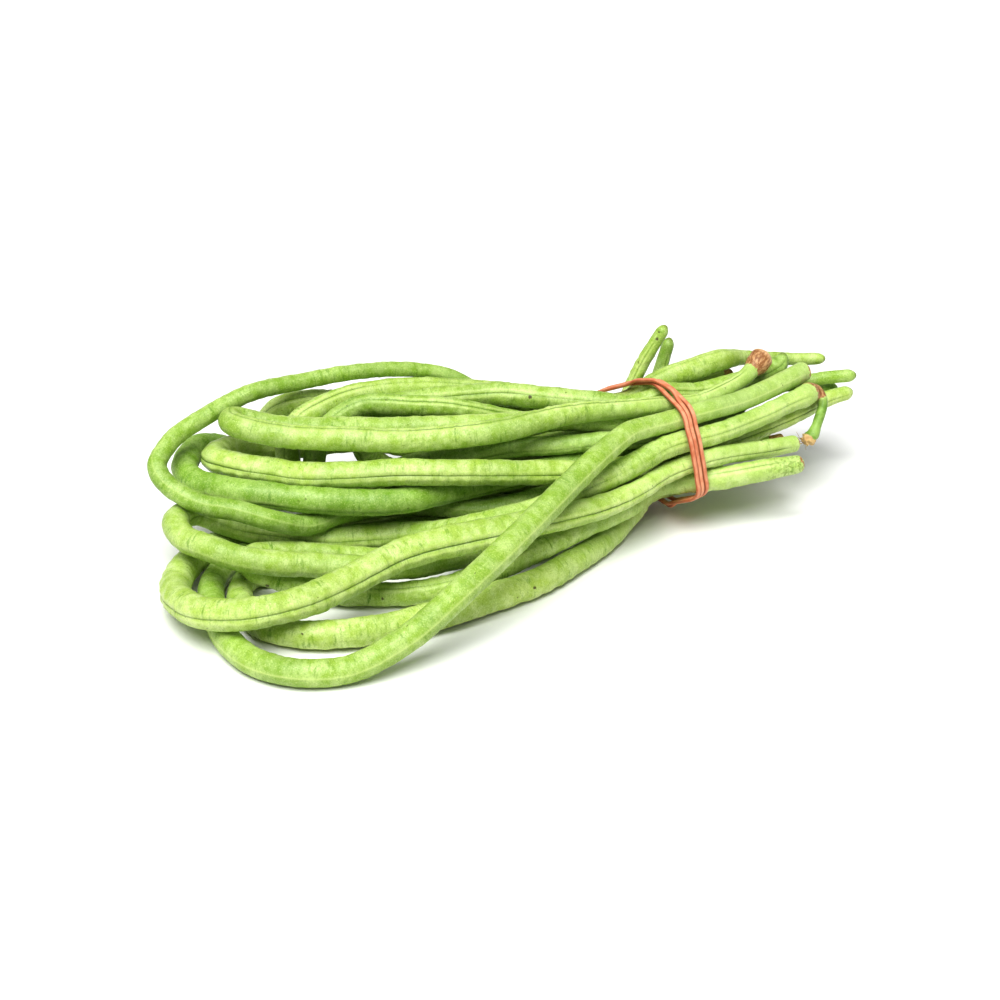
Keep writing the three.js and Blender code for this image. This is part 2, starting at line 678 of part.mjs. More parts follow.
function bandGeometry(pods) {
  const plane = PLANE;
  const outline = convexOutline(sectionPoints(pods));
  const perTurn = Math.round((2 * Math.PI * (BUNDLE_RADIUS + 1)) / BAND_STEP);
  const centres = [];
  for (let turn = 0; turn < BAND_TURNS; turn += 1)
    for (let k = 0; k < perTurn; k += 1) {
      const angle = (2 * Math.PI * k) / perTurn;
      const { lane, raise } = strandAt(turn, angle);
      const reach = outlineReach(outline, -angle) + raise;
      const centre = plane.middle
        .clone()
        .addScaledVector(plane.near, reach * Math.cos(-angle))
        .addScaledVector(plane.up, reach * Math.sin(-angle));
      centres.push(centre.addScaledVector(plane.normal, lane + swayAt(centre)));
    }
  const section = [[0.5, -0.28], [0.28, 0.5], [-0.28, 0.5], [-0.5, -0.28], [-0.28, -0.5], [0.28, -0.5]];
  const vertices = [];
  const count = centres.length;
  centres.forEach((centre, i) => {
    const tangent = centres[(i + 1) % count].clone().sub(centres[(i + count - 1) % count]).normalize();
    const across = plane.normal.clone().addScaledVector(tangent, -plane.normal.dot(tangent)).normalize();
    const outward = across.clone().cross(tangent);
    if (outward.dot(centre.clone().sub(plane.middle)) < 0) outward.negate();
    section.forEach(([w, t]) => {
      vertices.push(
        centre
          .clone()
          .addScaledVector(across, w * BAND_WIDTH)
          .addScaledVector(outward, t * BAND_THICKNESS),
      );
    });
  });
  const sides = section.length;
  const faces = [];
  for (let i = 0; i < count; i += 1)
    for (let k = 0; k < sides; k += 1) {
      const next = (k + 1) % sides;
      const low = i * sides;
      const high = ((i + 1) % count) * sides;
      faces.push([low + k, low + next, high + next], [low + k, high + next, high + k]);
    }
  return closedGeometry(vertices, faces);
}

function material(color, roughness) {
  return new THREE.MeshStandardMaterial({ color, roughness, metalness: 0 });
}

const pods = PODS.map(layOut);
settle(pods);

const bunch = new THREE.Group();
bunch.name = "yardlong_bean_bunch";
const meshes = pods.map((pod) => {
  const mesh = new THREE.Mesh(podGeometry(pod), material(0x9cc63f, 0.55));
  mesh.name = pod.name;
  return mesh;
});
const band = new THREE.Mesh(bandGeometry(pods), material(0xe07a50, 0.6));
band.name = "rubber_band";
bunch.add(...meshes, band);

// The middle of the footprint is the origin.
const box = new THREE.Box3().setFromObject(bunch);
const middle = box.getCenter(new THREE.Vector3());
bunch.position.set(-middle.x, -middle.y, -box.min.z);

export default bunch;
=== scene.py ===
"""Yardlong bean bunch: thirteen long pods folded double and gripped by one rubber band, lying down."""

import math

import bmesh
import bpy
import numpy as np
from mathutils import Euler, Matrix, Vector


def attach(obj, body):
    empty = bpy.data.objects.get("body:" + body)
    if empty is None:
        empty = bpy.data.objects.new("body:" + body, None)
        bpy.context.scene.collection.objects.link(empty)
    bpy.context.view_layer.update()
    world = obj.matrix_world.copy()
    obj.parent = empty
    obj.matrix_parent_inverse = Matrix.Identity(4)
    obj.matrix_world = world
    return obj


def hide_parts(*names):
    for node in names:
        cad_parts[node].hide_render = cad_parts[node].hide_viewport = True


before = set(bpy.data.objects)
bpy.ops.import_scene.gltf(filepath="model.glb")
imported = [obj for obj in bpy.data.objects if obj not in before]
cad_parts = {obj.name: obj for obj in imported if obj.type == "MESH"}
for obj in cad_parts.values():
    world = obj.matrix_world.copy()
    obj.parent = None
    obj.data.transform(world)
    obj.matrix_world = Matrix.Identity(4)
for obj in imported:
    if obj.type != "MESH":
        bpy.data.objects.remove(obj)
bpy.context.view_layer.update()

MM = 0.001
TURN = 2 * math.pi
UP = np.array([0, 0, 1])

# Seeds of the random draws. Each pod after the first takes the next one.
FIRST_POD_SEED = 11
FIBRE_SEED = 71
BAND_SEED = 5

# Reading the CAD solids. Corners closer than the weld are one. A corner no higher than the pressed
# height lies on the floor, and a ring is read without those where enough others are left.
# A seam's corner is nearer than the rest to the middle of its ring, between these shares of the
# radius. The edges round a section of the band are shorter than those on to the next section.
WELD = 0.002 * MM
POD_CORNERS = 10
PRESSED = 0.01 * MM
FEWEST_LIFTED = 6
SEAM_SHARES = (0.84, 0.93)
SECTION_EDGE = 1.5 * MM
# A direction that no pod starts along.
ASLANT = (0.3, 0.2, 1.0)
# Knots repeated past each end of a closed curve, so that it runs on smoothly through its join.
WRAPPED_KNOTS = 6
# Every tube starts as a flat sheet one unit across.
SHEET_HALF_SIZE = 0.5

# How finely a pod's skin is divided: the step along it, places in its two domed ends as shares of
# a dome's depth, those depths as shares of the radius there, and angles of the lanes by the seam.
STEP = 0.6 * MM
DOME_STATIONS = [0.0, 0.02, 0.06, 0.13, 0.22, 0.33, 0.46, 0.6, 0.74, 0.88]
STEM_DOME = 0.7
TIP_DOME = 1.5
SEAM_LANES = [0.0, 0.035, 0.07, 0.11, 0.16, 0.22, 0.29, 0.37, 0.47]
BACK_LANES = 40

# Swellings over the beans, and broader and smaller ones, as shares of the radius, and how far
# apart the beans and the ruffles by the seam are.
BEAN_SWELL = 0.026
BROAD_SWELL = 0.03
SMALL_SWELL = 0.026
BEAN_PITCH = 10.5 * MM
RUFFLE_PITCH = 4.6 * MM

# Stripes along a pod: height or strength, then angle from the seam and half width in radians.
# A height is a share of the radius, and the last three are strengths of colour.
SEAM_HOLLOW = (-0.03, 0.0, 0.2)
SEAM_CUT = (-0.05, 0.0, 0.05)
SEAM_LIP = (0.022, 0.33, 0.14)
SEAM_RUFFLE = (0.03, 0.5, 0.35)
BACK_KEEL = (0.022, math.pi, 0.1)
DARK_SEAM = (1.0, 0.0, 0.05)
PALE_LIP = (1.0, 0.27, 0.13)
PALE_KEEL = (0.7, math.pi, 0.09)

# The finest relief: heights of wrinkles and pimples, how far all of it sinks, and its highest point.
WRINKLE = 0.13 * MM
PIMPLE = 0.11 * MM
SUNK = 0.04 * MM
HIGHEST = 0.16 * MM

# The stalk, by the finish of its stem end, and the last of the tip have no swellings and no seam.
STALKS = {
    "hook": 26 * MM,
    "nub": 10 * MM,
    "collar": 10 * MM,
    "rim": 2 * MM,
    "butt": 2 * MM,
    "spotted": 2 * MM,
}
STALK_BLEND = 8 * MM
TIP_END = 1 * MM
PLAIN_TIP = 9 * MM
WRINKLED_TIP = 3 * MM
# Raggedness of a stalk and of the torn one's end, as shares of the radius, and where the tear fades.
RAGGED_STALK = 0.05
TORN_STALK = 0.4
TEAR = (2 * MM, 5.5 * MM)

# Colours near the ends: where a scar on a cut end is strongest, where the hooked stalk's dry cap
# starts, is full, fades and ends, where its green fades, and where a wrinkled tip's green fades.
SCARS = {"rim": 1.3 * MM, "butt": 0.8 * MM, "spotted": 0.8 * MM}
HOOK_CAP = (17 * MM, 18.4 * MM, 24 * MM, 25.6 * MM)
GREEN_STALK = (16 * MM, 18 * MM)
GREEN_TIP = (15 * MM, 24 * MM)
BROWN_BLEND = 0.6 * MM
SPECK_SIZE = 0.4 * MM
# A pod whose seam is no deeper than this has paler lips.
SMOOTH_CREASE = 0.27

# Loose fibres at the torn stalk: their rings as shares of their length, their shortest and longest
# length, how far their roots are spread and sunk, and how they lean and bend.
FIBRES = 9
FIBRE_SIDES = 5
FIBRE_PLACES = [0.0, 0.02, 0.18, 0.34, 0.5, 0.66, 0.82, 0.98, 1.0]
FIBRE_LENGTHS = (2.5 * MM, 6.5 * MM)
FIBRE_RADIUS = 0.13 * MM
FIBRE_TAPER = 0.6
FIBRE_SPREAD = 0.9 * MM
FIBRE_ROOT_DEPTH = 0.8 * MM
FIBRE_OUTWARD = 0.6
FIBRE_UPWARD = 1.1
FIBRE_STRAY = 0.5
FIBRE_BEND = 0.35

# The rubber band's strand. Its section is an ellipse at a roundness of 1 and a box at 0.
BAND_HALF_WIDTH = 0.8 * MM
BAND_HALF_THICKNESS = 0.58 * MM
BAND_ROUNDNESS = 0.75
BAND_STEP = 0.5 * MM
BAND_LANES = 25

# The studio and its camera.
FLOOR_HALF_SIZE = 4.0
FLOOR_HEIGHT = -0.05 * MM
ROOM_LIGHT = 0.33
SUN_STRENGTH = 4.3
SUN_SPREAD = math.radians(46)
SUN_FROM = Vector((-0.28, -0.38, 1.0))
GAMMA = 0.86
CAMERA_TURN = math.radians(-20)
CAMERA_ABOVE = math.radians(28)
CAMERA_TARGET = Vector((-9.035, 6.228, 15)) * MM
CAMERA_DISTANCE = 0.9
CAMERA_LENS = 100.8
CAMERA_SENSOR = 36
CAMERA_NEAREST = 0.01

# Where each pod's stem end is, in millimetres, and how the pod looks:
# tone runs from deep green 0 to pale yellow green 1, wrinkle is the depth of its cross wrinkles,
# lumps the height of its swellings, crease the depth of its seam,
# end the finish of its stem end, brown how many millimetres of it are brown where it isn't a scar,
# tip the finish of its other end where it isn't a plain one, and specks the places of its dark
# spots, in millimetres too.
PODS = {
    "pod_arch": {
        "stem": (93, 9, 19), "tone": 0.35, "wrinkle": 0.5, "lumps": 0.5, "crease": 0.3,
        "end": "nub", "brown": 6, "specks": [],
    },
    "pod_top": {
        "stem": (90, 21, 45), "tone": 0.7, "wrinkle": 0.9, "lumps": 1.0, "crease": 1.0,
        "end": "collar", "brown": 9, "specks": [],
    },
    "pod_upper": {
        "stem": (83, 30, 35), "tone": 1.0, "wrinkle": 0.7, "lumps": 0.9, "crease": 1.3,
        "end": "nub", "brown": 4, "specks": [(122, 18, 28)],
    },
    "pod_outer": {
        "stem": (83, 26, 26), "tone": 0.15, "wrinkle": 0.9, "lumps": 0.9, "crease": 0.8,
        "end": "nub", "brown": 6, "specks": [],
    },
    "pod_middle": {
        "stem": (96, 2, 18), "tone": 0.75, "wrinkle": 0.7, "lumps": 0.8, "crease": 0.5,
        "end": "hook", "brown": 3, "specks": [],
    },
    "pod_fat": {
        "stem": (94, -1, 21), "tone": 0.9, "wrinkle": 1.0, "lumps": 1.0, "crease": 1.4,
        "end": "butt", "specks": [],
    },
    "pod_front": {
        "stem": (105, 20, 37), "tone": 0.5, "wrinkle": 0.4, "lumps": 0.4, "crease": 0.25,
        "end": "rim", "specks": [],
    },
    "pod_low": {
        "stem": (90, -13, 21), "tone": 0.7, "wrinkle": 1.4, "lumps": 1.2, "crease": 0.6,
        "end": "spotted", "specks": [(-91, -9, 8), (-59, -25, 5)],
    },
    "pod_bottom": {
        "stem": (71, 8, 12), "tone": 1.0, "wrinkle": 1.0, "lumps": 1.3, "crease": 1.0,
        "end": "butt", "specks": [(-89, -40, 7), (-13, -36, 6)],
    },
    "pod_back": {
        "stem": (86, 21, 9), "tone": 0.8, "wrinkle": 0.7, "lumps": 0.8, "crease": 0.8,
        "end": "nub", "brown": 6, "specks": [(117, 29, 36)],
    },
    "pod_inner": {
        "stem": (77, 9, 31), "tone": 0.4, "wrinkle": 0.8, "lumps": 0.9, "crease": 0.8,
        "end": "butt", "specks": [],
    },
    "pod_rear": {
        "stem": (89, 17, 18), "tone": 0.8, "wrinkle": 0.7, "lumps": 0.7, "crease": 0.6,
        "end": "nub", "brown": 6, "specks": [(55.4, 30.3, 53.8), (54.5, 29.7, 51.7)],
    },
    "pod_shoulder": {
        "stem": (82, 23, 18), "tone": 0.55, "wrinkle": 1.0, "lumps": 1.0, "crease": 0.7,
        "end": "nub", "brown": 6, "tip": "wrinkled", "specks": [(8, 24.5, 40.6)],
    },
}


# Reading the CAD solids.


def welded(node):
    """A copy of a node's mesh with its loose triangles joined."""
    solid = bmesh.new()
    solid.from_mesh(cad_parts[node].data)
    bmesh.ops.remove_doubles(solid, verts=solid.verts, dist=WELD)
    return solid


def pod_rings(node):
    """Corners of a pod's rings, from one closed end to the other."""
    pod = welded(node)
    start = next(v for v in pod.verts if len(v.link_edges) == POD_CORNERS)
    seen = {start}
    level = [start]
    rings = []
    while level:
        following = []
        for corner in level:
            for edge in corner.link_edges:
                other = edge.other_vert(corner)
                if other not in seen:
                    seen.add(other)
                    following.append(other)
        if len(following) == POD_CORNERS:
            rings.append(np.array([v.co[:] for v in following]))
        level = following
    pod.free()
    return rings


def fitted_circle(corners):
    """Middle and radius of the circle that a ring's corners lie nearest to."""
    rough = corners.mean(axis=0)
    axes = np.linalg.svd(corners - rough)[2]
    flat = (corners - rough) @ axes[:2].T
    system = np.column_stack([2 * flat, np.ones(len(flat))])
    x, y, rest = np.linalg.lstsq(system, (flat**2).sum(axis=1), rcond=None)[0]
    return rough + x * axes[0] + y * axes[1], math.sqrt(rest + x * x + y * y)


def ring_facts(corners):
    """Middle and radius of a ring, and the way to its seam, or None where the floor hides it."""
    lifted = corners[corners[:, 2] > PRESSED]
    if len(lifted) < FEWEST_LIFTED:
        lifted = corners
    middle, _ = fitted_circle(lifted)
    inward = int(np.argmin(np.linalg.norm(lifted - middle, axis=1)))
    middle, radius = fitted_circle(np.delete(lifted, inward, axis=0))
    seam = lifted[inward] - middle
    least, most = SEAM_SHARES
    return middle, radius, seam if least < np.linalg.norm(seam) / radius < most else None


def strand_sections(node):
    """Corners of the band's sections in order round its three turns."""
    band = welded(node)
    section_of = {}
    for first in band.verts:
        if first in section_of:
            continue
        section = [first]
        section_of[first] = section
        for corner in section:
            for edge in corner.link_edges:
                other = edge.other_vert(corner)
                if other not in section_of and edge.calc_length() < SECTION_EDGE:
                    section_of[other] = section
                    section.append(other)
    band.verts.ensure_lookup_table()
    start = section_of[band.verts[0]]
    order, before, section = [], None, start
    while True:
        order.append(np.array([v.co[:] for v in section]))
        nearby = []
        for corner in section:
            for edge in corner.link_edges:
                other = section_of[edge.other_vert(corner)]
                if other is not section and other is not before and other not in nearby:
                    nearby.append(other)
        following = nearby[0]
        if following is start:
            break
        before, section = section, following
    band.free()
    return order


# Curves and noise.


def unit(vectors):
    """The same directions with a length of one."""
    return vectors / np.linalg.norm(vectors, axis=-1, keepdims=True)


def running_length(points):
    """Distance to each point along the straight lines between them."""
    return np.concatenate([[0], np.cumsum(np.linalg.norm(np.diff(points, axis=0), axis=1))])


def smooth_through(knots, values, places):
    """Natural cubic spline through the values at the knots, read at the places."""
    gaps = np.diff(knots)
    count = len(knots)
    system = np.eye(count)
    right = np.zeros_like(values)
    for i in range(1, count - 1):
        system[i, i - 1 : i + 2] = gaps[i - 1], 2 * (gaps[i - 1] + gaps[i]), gaps[i]
        after = (values[i + 1] - values[i]) / gaps[i]
        before = (values[i] - values[i - 1]) / gaps[i - 1]
        right[i] = 6 * (after - before)
    bend = np.linalg.solve(system, right)
    i = np.clip(np.searchsorted(knots, places) - 1, 0, count - 2)
    gap = gaps[i][:, None]
    left = (places - knots[i])[:, None]
    rest = gap - left
    return (
        bend[i] * rest**3 / (6 * gap)
        + bend[i + 1] * left**3 / (6 * gap)
        + (values[i] / gap - bend[i] * gap / 6) * rest
        + (values[i + 1] / gap - bend[i + 1] * gap / 6) * left
    )


def closed_smooth(values, knots, places):
    """Cubic spline round a closed loop, whose last knot is its first value again."""
    before = knots[-1 - WRAPPED_KNOTS : -1] - knots[-1]
    after = knots[1 : 1 + WRAPPED_KNOTS] + knots[-1]
    longer = np.concatenate([values[-WRAPPED_KNOTS:], values, values[: 1 + WRAPPED_KNOTS]])
    return smooth_through(np.concatenate([before, knots, after]), longer, places)


def carried_normals(tangents):
    """A way across the tube at every station, turning as little as it can."""
    normal = np.cross(tangents[0], ASLANT)
    normals = []
    for tangent in tangents:
        normal = unit(normal - tangent * (normal @ tangent))
        normals.append(normal)
    return np.array(normals)


def eased(share):
    """A share from 0 to 1 with a soft start and end."""
    return share * share * (3 - 2 * share)


def fade_in(x, start, end):
    """0 before the start, 1 after the end and a soft rise between."""
    return eased(np.clip((x - start) / (end - start), 0, 1))


def bell(x, half_width):
    """1 at 0, falling away softly on both sides."""
    return np.exp(-((x / half_width) ** 2))


def value_noise(rng, along, around, cell, cells_round):
    """Soft noise from -1 to 1 over a tube's skin, closed round it."""
    rows = int(along.max() / cell) + 3
    grid = rng.uniform(-1, 1, (rows, cells_round))
    u = along / cell
    v = (around / TURN) % 1.0 * cells_round
    i, j = np.floor(u).astype(int), np.floor(v).astype(int)
    fu, fv = eased(u - i), eased(v - j)
    j, k = j % cells_round, (j + 1) % cells_round
    low = grid[i, j] * (1 - fv) + grid[i, k] * fv
    high = grid[i + 1, j] * (1 - fv) + grid[i + 1, k] * fv
    return low * (1 - fu) + high * fu


# Making tubes.


def tube_blank(name, stations, lanes):
    """A flat sheet of quads that becomes a tube, with the station and the lane of each corner."""
    sheet = bmesh.new()
    segments = {"x_segments": stations - 1, "y_segments": lanes - 1}
    bmesh.ops.create_grid(sheet, **segments, size=SHEET_HALF_SIZE)
    mesh = bpy.data.meshes.new(name)
    sheet.to_mesh(mesh)
    sheet.free()
    flat = np.empty(len(mesh.vertices) * 3)
    mesh.vertices.foreach_get("co", flat)
    flat = flat.reshape(-1, 3) + SHEET_HALF_SIZE
    station = np.rint(flat[:, 0] * (stations - 1)).astype(int)
    lane = np.rint(flat[:, 1] * (lanes - 1)).astype(int)
    return mesh, station, lane


def roll_up(mesh, places, marks):
    """Move the sheet to its places, join its edges and keep its marks for the material."""
    mesh.vertices.foreach_set("co", places.reshape(-1))
    for name, values in marks.items():
        kind, field = ("FLOAT_VECTOR", "vector") if values.ndim == 2 else ("FLOAT", "value")
        mesh.attributes.new(name, kind, "POINT").data.foreach_set(field, values.reshape(-1))
    tube = bmesh.new()
    tube.from_mesh(mesh)
    bmesh.ops.remove_doubles(tube, verts=tube.verts, dist=WELD / 2)
    bmesh.ops.recalc_face_normals(tube, faces=tube.faces)
    for face in tube.faces:
        face.smooth = True
    tube.to_mesh(mesh)
    tube.free()


def show(name, mesh, finish, node=None):
    """Put a finished piece in the scene, standing for a CAD node if one is given."""
    piece = bpy.data.objects.new(name, mesh)
    bpy.context.scene.collection.objects.link(piece)
    mesh.materials.append(finish)
    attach(piece, "root")
    if node:
        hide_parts(node)


# The pods.


class PodLine:
    """A pod's middle line from its stem end to its tip, read from its CAD solid."""

    def __init__(self, node, stem):
        facts = [ring_facts(ring) for ring in pod_rings(node)]
        stem = np.array(stem) * MM
        if np.linalg.norm(facts[0][0] - stem) > np.linalg.norm(facts[-1][0] - stem):
            facts.reverse()
        middles = np.array([middle for middle, _, _ in facts])
        radii = [radius for _, radius, _ in facts]
        knots = running_length(middles)
        self.length = knots[-1]
        self.stem_dome = STEM_DOME * radii[0]
        self.tip_dome = TIP_DOME * radii[-1]
        self.along = self.stations()
        self.centres = smooth_through(knots, middles, self.along)
        self.tangents = unit(np.gradient(self.centres, self.along, axis=0))
        self.normals = carried_normals(self.tangents)
        self.sides = np.cross(self.tangents, self.normals)
        self.radii = np.interp(self.along, knots, radii)
        self.seam_turn = self.turn_to_seam(knots, [seam for _, _, seam in facts])

    def stations(self):
        """Places along the pod, close together in its two domed ends."""
        start = [self.stem_dome * share for share in DOME_STATIONS]
        end = [self.length - self.tip_dome * share for share in reversed(DOME_STATIONS)]
        count = int((self.length - self.stem_dome - self.tip_dome) / STEP)
        between_domes = np.linspace(self.stem_dome, self.length - self.tip_dome, count + 1)
        return np.concatenate([start, between_domes, end])

    def turn_to_seam(self, knots, seams):
        """Angle from the carried normal to the seam at every station."""
        at, turn = [], []
        for knot, seam in zip(knots, seams):
            if seam is not None:
                i = int(np.argmin(np.abs(self.along - knot)))
                at.append(knot)
                turn.append(math.atan2(seam @ self.sides[i], seam @ self.normals[i]))
        return np.interp(self.along, at, np.unwrap(turn))

    def laid_round(self, station, around, reach):
        """Points at their angles from the seam and their reach from the line, none under the floor."""
        turned = (around + self.seam_turn[station])[:, None]
        across = self.normals[station] * np.cos(turned) + self.sides[station] * np.sin(turned)
        places = self.centres[station] + across * reach[:, None]
        places[:, 2] = np.maximum(places[:, 2], 0)
        return places


class PodSurface:
    """Where each corner of a pod's skin is along and round it, with the noise and stripes over it."""

    def __init__(self, line, station, around, seed):
        self.from_stem = line.along[station]
        self.from_tip = line.length - self.from_stem
        self.around = around
        self.off_seam = np.minimum(around, TURN - around)
        self.radius = line.radii[station]
        self.rng = np.random.default_rng(seed)

    def noise(self, cell, cells_round):
        """Soft noise with cells of that many millimetres along the pod and that many round it."""
        return value_noise(self.rng, self.from_stem, self.around, cell * MM, cells_round)

    def noise_along(self, cell):
        """Soft noise that is the same all round the pod."""
        return value_noise(self.rng, self.from_stem, 0 * self.around, cell * MM, 3)

    def stripe(self, height, angle, half_width):
        """A ridge, hollow or colour that runs along the pod at an angle from its seam."""
        return height * bell(self.off_seam - angle, half_width)


def pod_lanes():
    """Angles round a pod, with narrow lanes by the seam and the first lane again at the end."""
    far = [TURN - angle for angle in reversed(SEAM_LANES)]
    back = np.linspace(SEAM_LANES[-1], far[0], BACK_LANES + 1)[1:-1]
    return np.concatenate([SEAM_LANES, back, far])


def fresh_share(look, surface):
    """1 where a pod is fresh and full, fading to 0 in its stalk and at its tip."""
    stalk = STALKS[look["end"]]
    tip = WRINKLED_TIP if look.get("tip") == "wrinkled" else PLAIN_TIP
    past_stalk = fade_in(surface.from_stem, stalk, stalk + STALK_BLEND)
    return past_stalk * fade_in(surface.from_tip, TIP_END, tip)


def bean_swell(surface, drift):
    """Swellings over the beans, higher on the pod's flanks, with broader and smaller ones."""
    beans = np.cos(TURN * (surface.from_stem / BEAN_PITCH + 0.5 * drift))
    strong = 0.55 + 0.45 * surface.noise_along(34)
    swell = BEAN_SWELL * beans * strong * (0.4 + 0.6 * np.sin(surface.around) ** 2)
    swell += BROAD_SWELL * surface.noise(13, 3)
    swell += SMALL_SWELL * surface.noise(5, 5)
    return swell


def seam_strength(look, surface):
    """How strongly the seam shows along a pod: a shallow one comes and goes."""
    least = min(0.8, max(0.1, 0.55 * look["crease"] - 0.1))
    return least + (1 - least) * fade_in(surface.noise_along(20), -0.6, 0.3)


def seam_fold(surface, drift):
    """The cut of the seam in its hollow, between two lips that are ruffled along their edges."""
    fold = surface.stripe(*SEAM_HOLLOW) + surface.stripe(*SEAM_CUT) + surface.stripe(*SEAM_LIP)
    ruffle = np.cos(TURN * (surface.from_stem / RUFFLE_PITCH + drift))
    return fold + ruffle * surface.stripe(*SEAM_RUFFLE)


def fine_relief(look, surface):
    """Height of the cross wrinkles and pimples, which come in patches."""
    rough = surface.noise(1.2, 5) + 0.7 * surface.noise(1.0, 12)
    patch = 0.3 + 0.7 * fade_in(surface.noise(9, 3), -0.3, 0.6)
    pimples = surface.noise(1.6, 16) + 0.5 * surface.noise(1.0, 30)
    wrinkled = WRINKLE * look["wrinkle"] * rough * patch
    pimpled = PIMPLE * pimples * (0.5 + 0.5 * patch)
    return np.minimum(wrinkled + pimpled - SUNK, HIGHEST)


def ragged_stalk(look, surface):
    """Unevenness of the stalk, strong at the end of the hooked one, which was torn off."""
    in_stalk = 1 - fade_in(surface.from_stem, 0, STALKS[look["end"]])
    ragged = RAGGED_STALK * in_stalk * surface.noise(1.6, 9)
    if look["end"] == "hook":
        ragged += TORN_STALK * (1 - fade_in(surface.from_stem, *TEAR)) * surface.noise(0.7, 11)
    return ragged


def rounded_ends(line, surface):
    """Share of its full girth that a pod has in its two domed ends."""
    girth = 1.0
    for distance, dome in ((surface.from_stem, line.stem_dome), (surface.from_tip, line.tip_dome)):
        share = np.clip(distance / dome, 0, 1)
        girth = girth * np.sqrt(np.clip(1 - (1 - share) ** 2, 0, 1))
    return girth


def speck_marks(look, places):
    """1 at each dark spot, which lies where the skin is nearest to the spot's place."""
    speck = np.zeros(len(places))
    for place in look["specks"]:
        away = np.linalg.norm(places - np.array(place) * MM, axis=1)
        speck = np.maximum(speck, bell(away - away.min(), SPECK_SIZE))
    return speck


def end_colours(look, surface):
    """How dry and brown, and how deep green, the skin is near a pod's two ends."""
    uneven = surface.noise(1.5, 9)
    deep = np.zeros(len(surface.from_stem))
    if look["end"] in SCARS:
        scar = SCARS[look["end"]]
        dry = bell(surface.from_stem - scar, scar) * fade_in(uneven, -0.4, 0.3)
    else:
        reach = look["brown"] * MM
        dry = 1 - fade_in(surface.from_stem, reach - BROWN_BLEND, reach + BROWN_BLEND)
    if look["end"] == "hook":
        start, full, fading, end = HOOK_CAP
        cap = fade_in(surface.from_stem, start, full) * (1 - fade_in(surface.from_stem, fading, end))
        dry = np.maximum(dry, cap)
        deep = 1 - fade_in(surface.from_stem, *GREEN_STALK)
    if look.get("tip") == "wrinkled":
        deep = 0.55 * (1 - fade_in(surface.from_tip, *GREEN_TIP))
    return dry, deep


def pod_piece(node, look, seed):
    """A pod's fine skin, laid along its own CAD solid."""
    line = PodLine(node, look["stem"])
    angles = pod_lanes()
    mesh, station, lane = tube_blank(node + "_skin", len(line.along), len(angles))
    around = angles[lane]
    surface = PodSurface(line, station, around, seed)

    fresh = fresh_share(look, surface)
    drift = surface.noise_along(26)
    swell = look["lumps"] * bean_swell(surface, drift)
    strength = seam_strength(look, surface)
    fold = look["crease"] * strength * seam_fold(surface, drift)
    shape = 1 + fresh * (swell + fold + surface.stripe(*BACK_KEEL))
    lift = fresh * fine_relief(look, surface)
    shape += ragged_stalk(look, surface)
    reach = (surface.radius * shape + lift) * rounded_ends(line, surface)
    places = line.laid_round(station, around, reach)

    dry, deep = end_colours(look, surface)
    across, beside = surface.radius * np.cos(around), surface.radius * np.sin(around)
    lips = surface.stripe(*PALE_LIP) * strength + surface.stripe(*PALE_KEEL)
    marks = {
        "straight": np.column_stack([surface.from_stem, across, beside]),
        "crease": surface.stripe(*DARK_SEAM) * fresh * strength * min(1, look["crease"]),
        "lip": lips * fresh,
        "dry": dry,
        "deep": deep,
        "speck": speck_marks(look, places),
        "from_stem": surface.from_stem,
        "from_tip": surface.from_tip,
    }
    if look["end"] == "hook":
        torn_fibres(node + "_fibres", line.centres[0], -line.tangents[0])
    roll_up(mesh, places, marks)
    show(node + "_skin", mesh, pod_skin(node, look, seed), node)


def torn_fibres(name, root, outward):
    """Loose dry fibres that stand out of a stalk where it was torn off."""
    rng = np.random.default_rng(FIBRE_SEED)
    angles = np.linspace(0, TURN, FIBRE_SIDES + 1)
    tuft = bmesh.new()
    for _ in range(FIBRES):
        lean = FIBRE_OUTWARD * outward + FIBRE_UPWARD * UP + FIBRE_STRAY * rng.normal(size=3)
        lean = unit(lean)
        bend = FIBRE_BEND * rng.normal(size=3)
        length = rng.uniform(*FIBRE_LENGTHS)
        foot = root + FIBRE_SPREAD * rng.uniform(-1, 1, 3) - outward * FIBRE_ROOT_DEPTH
        across = unit(np.cross(lean, [1, 0, 0]))
        beside = np.cross(lean, across)
        fibre, station, lane = tube_blank(name, len(FIBRE_PLACES), len(angles))
        share = np.array(FIBRE_PLACES)[station][:, None]
        angle = angles[lane][:, None]
        inside = (share > 0) & (share < 1)
        radius = FIBRE_RADIUS * (1 - FIBRE_TAPER * share) * inside
        middle = foot + length * (share * lean + share**2 * bend)
        places = middle + radius * (np.cos(angle) * across + np.sin(angle) * beside)
        roll_up(fibre, places, {})
        tuft.from_mesh(fibre)
        bpy.data.meshes.remove(fibre)
    mesh = bpy.data.meshes.new(name)
    tuft.to_mesh(mesh)
    tuft.free()
    show(name, mesh, dry_fibre())


# The rubber band.


def flat_ways(sections, middles):
    """The way across the flat of the strand at each section, all pointing alike."""
    ways = []
    for section, middle in zip(sections, middles):
        way = np.linalg.svd(section - middle)[2][0]
        if ways and way @ ways[-1] < 0:
            way = -way
        ways.append(way)
    return np.array(ways)


